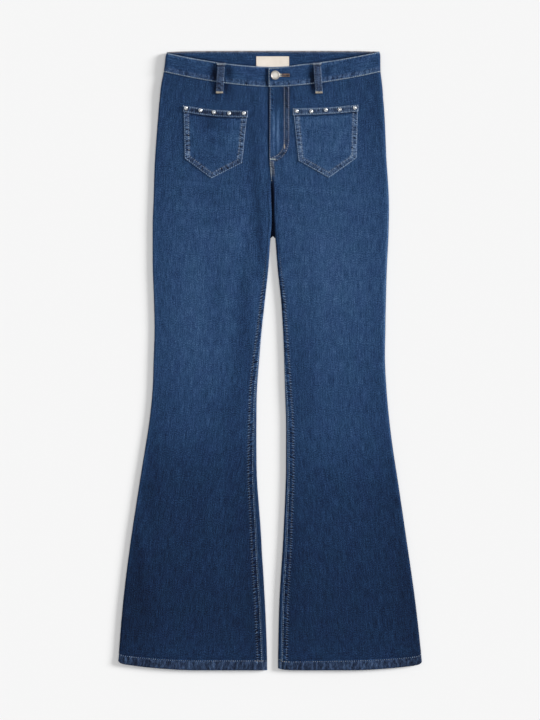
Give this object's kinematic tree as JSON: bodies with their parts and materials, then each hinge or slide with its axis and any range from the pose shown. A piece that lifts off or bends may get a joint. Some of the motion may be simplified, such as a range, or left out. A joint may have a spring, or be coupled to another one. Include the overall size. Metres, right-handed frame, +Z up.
{
  "type": "bootcut jeans",
  "caption": "Bootcut jeans laid flat and fastened, with pointed patch pockets, studded pocket bindings, belt loops and flared hems.",
  "frame": {"origin": "on the surface that the garment lies on, under the middle of its outline", "axes": "+X to the right of the laid garment as seen from above, +Y towards the waist, +Z up out of the front"},
  "size_m": [0.537, 1.0956, 0.0144],
  "materials": {
    "denim": "matt washed indigo twill, faded on the thighs and worn pale along seams and edges",
    "zip_tape": "matt woven tape",
    "silver_metal": "satin silver",
    "label_cloth": "matt cream weave, bare"
  },
  "bodies": {
    "root": {"front_panel_left": "denim", "front_panel_right": "denim", "back_panel_left": "denim", "back_panel_right": "denim", "back_yoke_left": "denim", "back_yoke_right": "denim", "waistband_front_left": "denim", "waistband_front_right": "denim", "waistband_back": "denim", "fly_shield": "denim", "pocket_left": "denim", "pocket_right": "denim", "pocket_binding_left": "denim", "pocket_binding_right": "denim", "belt_loop_front_left": "denim", "belt_loop_front_right": "denim", "belt_loop_back_left": "denim", "belt_loop_back_middle": "denim", "belt_loop_back_right": "denim", "zip": "zip_tape", "button": "silver_metal", "stud_left_1": "silver_metal", "stud_left_2": "silver_metal", "stud_left_3": "silver_metal", "stud_left_4": "silver_metal", "stud_left_5": "silver_metal", "stud_right_1": "silver_metal", "stud_right_2": "silver_metal", "stud_right_3": "silver_metal", "stud_right_4": "silver_metal", "stud_right_5": "silver_metal", "label": "label_cloth"}
  },
  "joints": []
}
